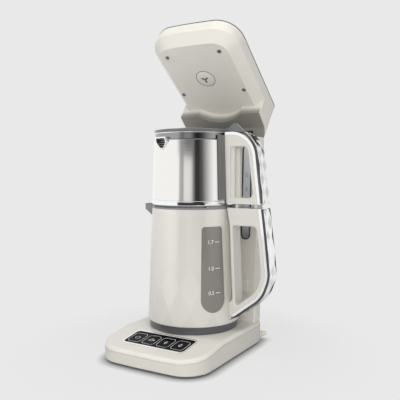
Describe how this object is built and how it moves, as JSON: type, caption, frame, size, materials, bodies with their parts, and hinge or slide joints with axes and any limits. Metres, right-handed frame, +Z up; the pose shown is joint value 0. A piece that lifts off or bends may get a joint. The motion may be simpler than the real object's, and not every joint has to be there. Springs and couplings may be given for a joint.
{
  "type": "automatic tea maker",
  "caption": "Automatic tea maker: key panel base and leaning column with a hinged head above a window kettle, a stacked steel teapot with pouring lip and a thumb tab lid.",
  "frame": {"origin": "on the standing surface, on the kettle's axis, at the middle of the central foot", "axes": "+Z up, -Y towards the key panel, +X towards the handles"},
  "size_m": [0.2407, 0.3067, 0.5336],
  "materials": {
    "ivory": "satin ivory plastic",
    "pearl": "pearl ivory with faint diamond pattern",
    "pale_grey": "grey plastic",
    "dark_grey": "dark grey satin plastic",
    "rubber": "matte",
    "steel": "polished",
    "chrome": "mirror",
    "dark_steel": "dark",
    "black_gloss": "black gloss",
    "smoky_clear": "smoky transparent plastic",
    "green_board": "circuit board",
    "black_plastic": "matte",
    "tube": "silicone tube",
    "contact_brass": "plain"
  },
  "bodies": {
    "base": {"base_skirt": "ivory", "base_cover": "ivory", "base_plate": "dark_grey", "rubber_feet": "rubber", "base_screws": "steel", "power_dock": "dark_grey", "dock_contacts": "contact_brass", "panel_bezel": "chrome", "key_plate": "black_gloss", "key_board": "green_board", "power_board": "green_board", "water_pump": "black_plastic", "cord_gland": "ivory", "column_front": "ivory", "column_back": "ivory", "column_cap": "ivory", "column_screws": "steel", "strip_border": "chrome", "strip_lens": "smoky_clear", "water_port": "ivory", "riser_tube": "tube", "hinge_bracket": "black_plastic", "hinge_pin": "steel"},
    "head": {"head_lower": "ivory", "head_trim": "dark_grey", "head_cover": "ivory", "plate_screws": "steel", "water_outlet": "dark_grey", "feed_tube": "tube", "hinge_knuckles": "black_plastic"},
    "kettle": {"kettle_jacket": "pearl", "kettle_liner": "steel", "kettle_window": "smoky_clear", "kettle_ring": "dark_grey", "kettle_bottom": "black_plastic", "kettle_heater": "steel", "kettle_collar": "pale_grey", "kettle_beak": "ivory", "kettle_handle": "ivory", "kettle_trim": "chrome", "kettle_band": "chrome"},
    "teapot": {"pot_body": "steel", "pot_neck": "steel", "pot_rim": "chrome", "pot_ring": "chrome", "pot_spout": "chrome", "pot_strainer": "dark_steel", "handle_mount": "dark_grey", "teapot_handle": "ivory", "teapot_trim": "chrome", "teapot_band": "chrome", "tea_basket": "steel"},
    "lid": {"teapot_lid": "pale_grey", "lid_tab": "pale_grey"},
    "key_1": {"touch_key_1": "black_gloss"},
    "key_2": {"touch_key_2": "black_gloss"},
    "key_3": {"touch_key_3": "black_gloss"},
    "key_4": {"touch_key_4": "black_gloss"}
  },
  "joints": [
    {"name": "head_hinge", "type": "hinge", "parent": "base", "child": "head", "pos_m": [0, 0.108, 0.357], "axis": [-1, 0, 0], "range_deg": [-38, 0]},
    {"name": "kettle_lift", "type": "slide", "parent": "base", "child": "kettle", "axis": [0, 0, 1], "range_m": [0, 0.025]},
    {"name": "teapot_lift", "type": "slide", "parent": "kettle", "child": "teapot", "axis": [0, 0, 1], "range_m": [0, 0.02]},
    {"name": "lid_lift", "type": "slide", "parent": "teapot", "child": "lid", "axis": [0, 0, 1], "range_m": [0, 0.015]},
    {"name": "key_press_1", "type": "slide", "parent": "base", "child": "key_1", "axis": [0, 0.1404, -0.9901], "range_m": [0, 0.0008], "stiffness_N_per_m": 400, "springref_m": -0.0004},
    {"name": "key_press_2", "type": "slide", "parent": "base", "child": "key_2", "axis": [0, 0.1404, -0.9901], "range_m": [0, 0.0008], "stiffness_N_per_m": 400, "springref_m": -0.0004},
    {"name": "key_press_3", "type": "slide", "parent": "base", "child": "key_3", "axis": [0, 0.1404, -0.9901], "range_m": [0, 0.0008], "stiffness_N_per_m": 400, "springref_m": -0.0004},
    {"name": "key_press_4", "type": "slide", "parent": "base", "child": "key_4", "axis": [0, 0.1404, -0.9901], "range_m": [0, 0.0008], "stiffness_N_per_m": 400, "springref_m": -0.0004}
  ]
}
